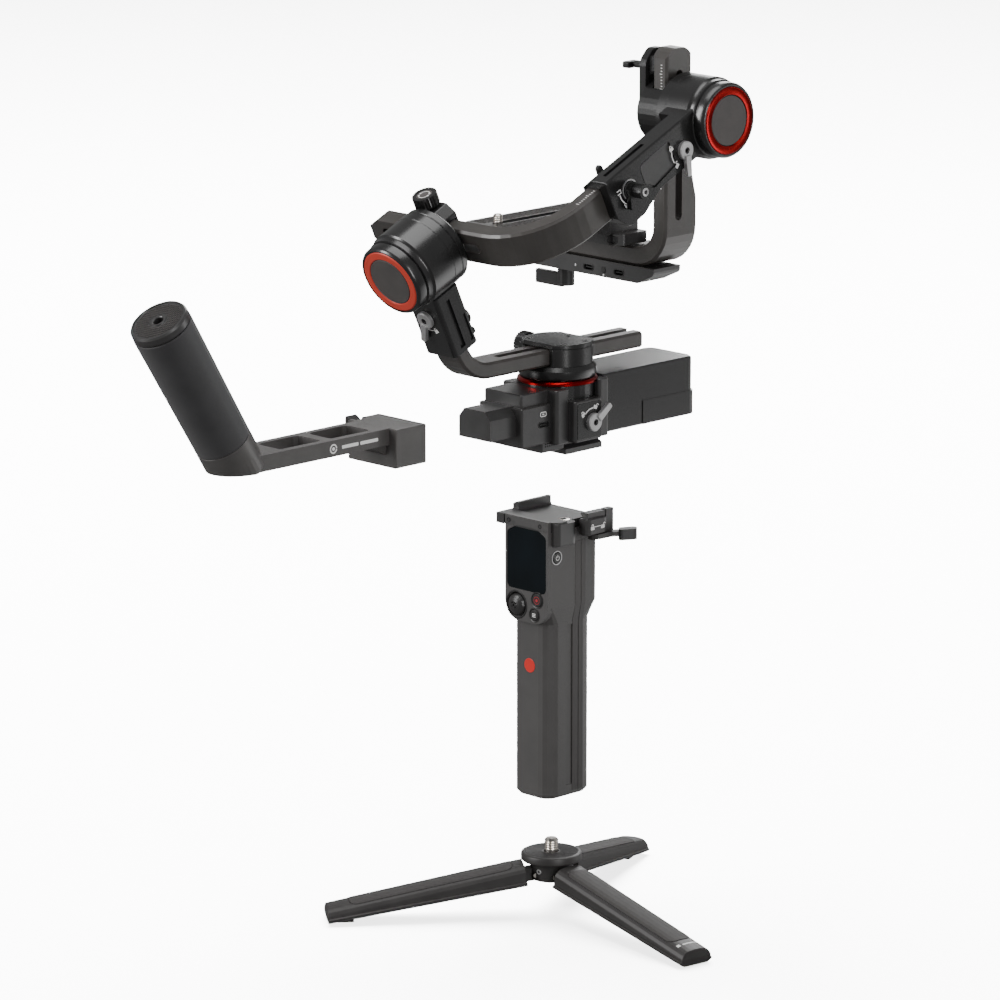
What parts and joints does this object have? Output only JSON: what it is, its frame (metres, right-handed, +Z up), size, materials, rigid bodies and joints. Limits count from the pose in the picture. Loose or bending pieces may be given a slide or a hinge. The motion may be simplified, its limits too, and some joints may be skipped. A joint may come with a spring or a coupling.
{
  "type": "gimbal stabilizer",
  "caption": "Hand-held motorised camera stabilizer shown taken apart: folding tripod, grip with screen, powered pan base with side handle, and jointed arms carrying a camera plate.",
  "frame": {"origin": "on the floor, under the middle of the bounding box", "axes": "+Z up, +Y forward (the way the camera looks), +X to the user's right"},
  "size_m": [0.257, 0.5114, 0.5927],
  "materials": {
    "anodised_aluminium": "satin, black anodised, light machined edges",
    "soft_touch_plastic": "soft matte",
    "gloss_plastic": "gloss",
    "rubber": "matte, ribbed",
    "foam_rubber": "fine matte foam",
    "display_glass": "polished black glass over a dark display",
    "red_ring": "satin red",
    "steel": "bright turned steel",
    "satin_silver": "satin silver",
    "battery_wrap": "smooth wrap"
  },
  "bodies": {
    "tripod": {"tripod_hub": "soft_touch_plastic", "tripod_screw": "steel", "hinge_pin_1": "steel", "hinge_pin_2": "steel", "hinge_pin_3": "steel"},
    "leg_1": {"tripod_leg_1": "soft_touch_plastic", "leg_pad_1": "rubber"},
    "leg_2": {"tripod_leg_2": "soft_touch_plastic", "leg_pad_2": "rubber"},
    "leg_3": {"tripod_leg_3": "soft_touch_plastic", "leg_pad_3": "rubber"},
    "grip": {"grip_rear_shell": "soft_touch_plastic", "grip_front_shell": "soft_touch_plastic", "display_window": "display_glass", "tripod_socket": "steel", "clamp_plate": "anodised_aluminium"},
    "stick_cradle": {"joystick_cradle": "steel"},
    "stick": {"joystick": "soft_touch_plastic"},
    "record_key": {"record_button": "soft_touch_plastic"},
    "mode_key": {"mode_button": "soft_touch_plastic"},
    "side_key": {"side_button": "soft_touch_plastic"},
    "trigger_key": {"trigger": "soft_touch_plastic"},
    "jaw": {"clamp_jaw": "anodised_aluminium"},
    "jaw_handle": {"jaw_lever": "anodised_aluminium"},
    "head": {"base_housing": "anodised_aluminium", "pan_motor_housing": "anodised_aluminium", "battery_case": "gloss_plastic", "battery_cells": "battery_wrap", "dovetail_plate": "anodised_aluminium"},
    "pan_lock": {"pan_lock_lever": "satin_silver"},
    "side_handle": {"handle_arm": "anodised_aluminium", "handle_grip": "foam_rubber", "handle_end_cap": "anodised_aluminium"},
    "latch": {"handle_latch": "soft_touch_plastic"},
    "pan_turntable": {"pan_ring": "red_ring", "pan_rotor": "anodised_aluminium", "arm_clamp_plate": "anodised_aluminium"},
    "pan_knob": {"pan_arm_knob": "anodised_aluminium"},
    "lower_arm": {"pan_arm": "anodised_aluminium"},
    "roll_motor": {"roll_motor_housing": "anodised_aluminium", "roll_motor_ring": "red_ring", "roll_motor_cap": "soft_touch_plastic"},
    "roll_lock": {"roll_lock_lever": "satin_silver"},
    "height_knob": {"roll_height_knob": "anodised_aluminium"},
    "roll_turntable": {"roll_rotor_clamp": "anodised_aluminium"},
    "roll_knob": {"roll_arm_knob": "anodised_aluminium"},
    "middle_arm": {"roll_arm": "anodised_aluminium"},
    "tilt_motor": {"tilt_motor_housing": "anodised_aluminium", "tilt_motor_ring": "red_ring", "tilt_motor_cap": "soft_touch_plastic"},
    "tilt_lock": {"tilt_lock_lever": "satin_silver"},
    "reach_handle": {"reach_lever": "anodised_aluminium"},
    "tilt_turntable": {"tilt_rotor_clamp": "anodised_aluminium"},
    "tilt_handle": {"tilt_arm_lever": "anodised_aluminium"},
    "camera_arm": {"tilt_arm": "anodised_aluminium", "tray_base": "soft_touch_plastic", "plate_clamp": "anodised_aluminium"},
    "tray_handle": {"tray_knob": "soft_touch_plastic"},
    "plate": {"camera_plate": "anodised_aluminium"},
    "plate_screw": {"camera_screw": "steel"}
  },
  "joints": [
    {"name": "leg_fold_1", "type": "hinge", "parent": "tripod", "child": "leg_1", "pos_m": [-0.03016, 0.12028, 0.0285], "axis": [-0.9205, -0.3907, 0], "range_deg": [0, 80]},
    {"name": "leg_fold_2", "type": "hinge", "parent": "tripod", "child": "leg_2", "pos_m": [-0.0327, 0.09965, 0.0285], "axis": [0.7986, -0.6018, 0], "range_deg": [0, 80]},
    {"name": "leg_fold_3", "type": "hinge", "parent": "tripod", "child": "leg_3", "pos_m": [-0.01356, 0.10777, 0.0285], "axis": [0.1219, 0.9925, 0], "range_deg": [0, 80]},
    {"name": "grip_lift", "type": "slide", "parent": "tripod", "child": "grip", "axis": [0, 0, 1], "range_m": [-0.0418, 0]},
    {"name": "stick_left_right", "type": "hinge", "parent": "grip", "child": "stick_cradle", "pos_m": [-0.03467, 0.08894, 0.2178], "axis": [0, 0, 1], "range_deg": [-12, 12], "stiffness_Nm_per_rad": 0.08},
    {"name": "stick_up_down", "type": "hinge", "parent": "stick_cradle", "child": "stick", "pos_m": [-0.03467, 0.08894, 0.2178], "axis": [1, 0, 0], "range_deg": [-12, 12], "stiffness_Nm_per_rad": 0.08},
    {"name": "record_button_press", "type": "slide", "parent": "grip", "child": "record_key", "axis": [0, 1, 0], "range_m": [0, 0.0006], "stiffness_N_per_m": 400},
    {"name": "mode_button_press", "type": "slide", "parent": "grip", "child": "mode_key", "axis": [0, 1, 0], "range_m": [0, 0.0006], "stiffness_N_per_m": 400},
    {"name": "side_button_press", "type": "slide", "parent": "grip", "child": "side_key", "axis": [-1, 0, 0], "range_m": [0, 0.0007], "stiffness_N_per_m": 400},
    {"name": "trigger_pull", "type": "slide", "parent": "grip", "child": "trigger_key", "axis": [0, -1, 0], "range_m": [0, 0.002], "stiffness_N_per_m": 400},
    {"name": "jaw_close", "type": "slide", "parent": "grip", "child": "jaw", "axis": [-1, 0, 0], "range_m": [0, 0.0022]},
    {"name": "jaw_lever_swing", "type": "hinge", "parent": "jaw", "child": "jaw_handle", "pos_m": [0.00103, 0.12204, 0.265], "axis": [0, 0, 1], "range_deg": [-70, 0]},
    {"name": "head_lift", "type": "slide", "parent": "grip", "child": "head", "axis": [0, 0, 1], "range_m": [-0.0449, 0]},
    {"name": "pan_lock_turn", "type": "hinge", "parent": "head", "child": "pan_lock", "pos_m": [0.00553, 0.11564, 0.3442], "axis": [1, 0, 0], "range_deg": [-40, 0]},
    {"name": "handle_slide", "type": "slide", "parent": "head", "child": "side_handle", "axis": [0, 1, 0], "range_m": [0, 0.0891]},
    {"name": "handle_latch_press", "type": "slide", "parent": "side_handle", "child": "latch", "axis": [1, 0, 0], "range_m": [0, 0.0015], "stiffness_N_per_m": 400},
    {"name": "pan", "type": "hinge", "parent": "head", "child": "pan_turntable", "pos_m": [-0.02547, 0.11403, 0.3685], "axis": [0, 0, 1], "continuous": true},
    {"name": "pan_arm_knob_turn", "type": "hinge", "parent": "pan_turntable", "child": "pan_knob", "pos_m": [-0.04927, 0.11303, 0.3886], "axis": [1, 0, 0], "continuous": true},
    {"name": "pan_arm_slide", "type": "slide", "parent": "pan_turntable", "child": "lower_arm", "axis": [0, 1, 0], "range_m": [-0.03, 0.03]},
    {"name": "roll_height_slide", "type": "slide", "parent": "lower_arm", "child": "roll_motor", "axis": [0, -0.4226, 0.9063], "range_m": [0, 0.025]},
    {"name": "roll_lock_turn", "type": "hinge", "parent": "roll_motor", "child": "roll_lock", "pos_m": [-0.02577, -0.00654, 0.4266], "axis": [0, -0.9063, -0.4226], "range_deg": [-45, 0]},
    {"name": "roll_height_knob_turn", "type": "hinge", "parent": "roll_motor", "child": "height_knob", "pos_m": [-0.02547, 0.02041, 0.42206], "axis": [0, 0.9063, 0.4226], "continuous": true},
    {"name": "roll", "type": "hinge", "parent": "roll_motor", "child": "roll_turntable", "pos_m": [-0.02547, -0.00335, 0.47277], "axis": [0, 0.9063, 0.4226], "range_deg": [-95, 240]},
    {"name": "roll_arm_knob_turn", "type": "hinge", "parent": "roll_turntable", "child": "roll_knob", "pos_m": [-0.03247, 0.00139, 0.49904], "axis": [0, -0.4226, 0.9063], "continuous": true},
    {"name": "roll_arm_slide", "type": "slide", "parent": "roll_turntable", "child": "middle_arm", "axis": [1, 0, 0], "range_m": [-0.018, 0.025]},
    {"name": "tilt_reach_slide", "type": "slide", "parent": "middle_arm", "child": "tilt_motor", "axis": [0, 0.9063, 0.4226], "range_m": [-0.015, 0.025]},
    {"name": "tilt_lock_turn", "type": "hinge", "parent": "tilt_motor", "child": "tilt_lock", "pos_m": [0.07453, 0.12849, 0.53337], "axis": [1, 0, 0], "range_deg": [-45, 0]},
    {"name": "reach_lever_turn", "type": "hinge", "parent": "tilt_motor", "child": "reach_handle", "pos_m": [0.07453, 0.07803, 0.51381], "axis": [1, 0, 0], "range_deg": [-90, 0]},
    {"name": "tilt", "type": "hinge", "parent": "tilt_motor", "child": "tilt_turntable", "pos_m": [0.03453, 0.16178, 0.54978], "axis": [1, 0, 0], "range_deg": [-112, 214]},
    {"name": "tilt_arm_lever_turn", "type": "hinge", "parent": "tilt_turntable", "child": "tilt_handle", "pos_m": [0.01453, 0.15978, 0.5775], "axis": [1, 0, 0], "continuous": true},
    {"name": "tilt_arm_slide", "type": "slide", "parent": "tilt_turntable", "child": "camera_arm", "axis": [0, 0, 1], "range_m": [-0.02, 0.018]},
    {"name": "tray_lever_turn", "type": "hinge", "parent": "camera_arm", "child": "tray_handle", "pos_m": [-0.06447, 0.16178, 0.4335], "axis": [0, 0, 1], "range_deg": [-90, 90]},
    {"name": "camera_plate_slide", "type": "slide", "parent": "camera_arm", "child": "plate", "axis": [0, 1, 0], "range_m": [-0.01, 0.03]},
    {"name": "camera_screw_turn", "type": "hinge", "parent": "plate", "child": "plate_screw", "pos_m": [-0.02547, 0.05804, 0.4743], "axis": [0, 0, 1], "continuous": true}
  ],
  "couplings": [
    {"joint": "jaw_lever_swing", "follows": "jaw_close", "rad_per_m": -555.33}
  ]
}
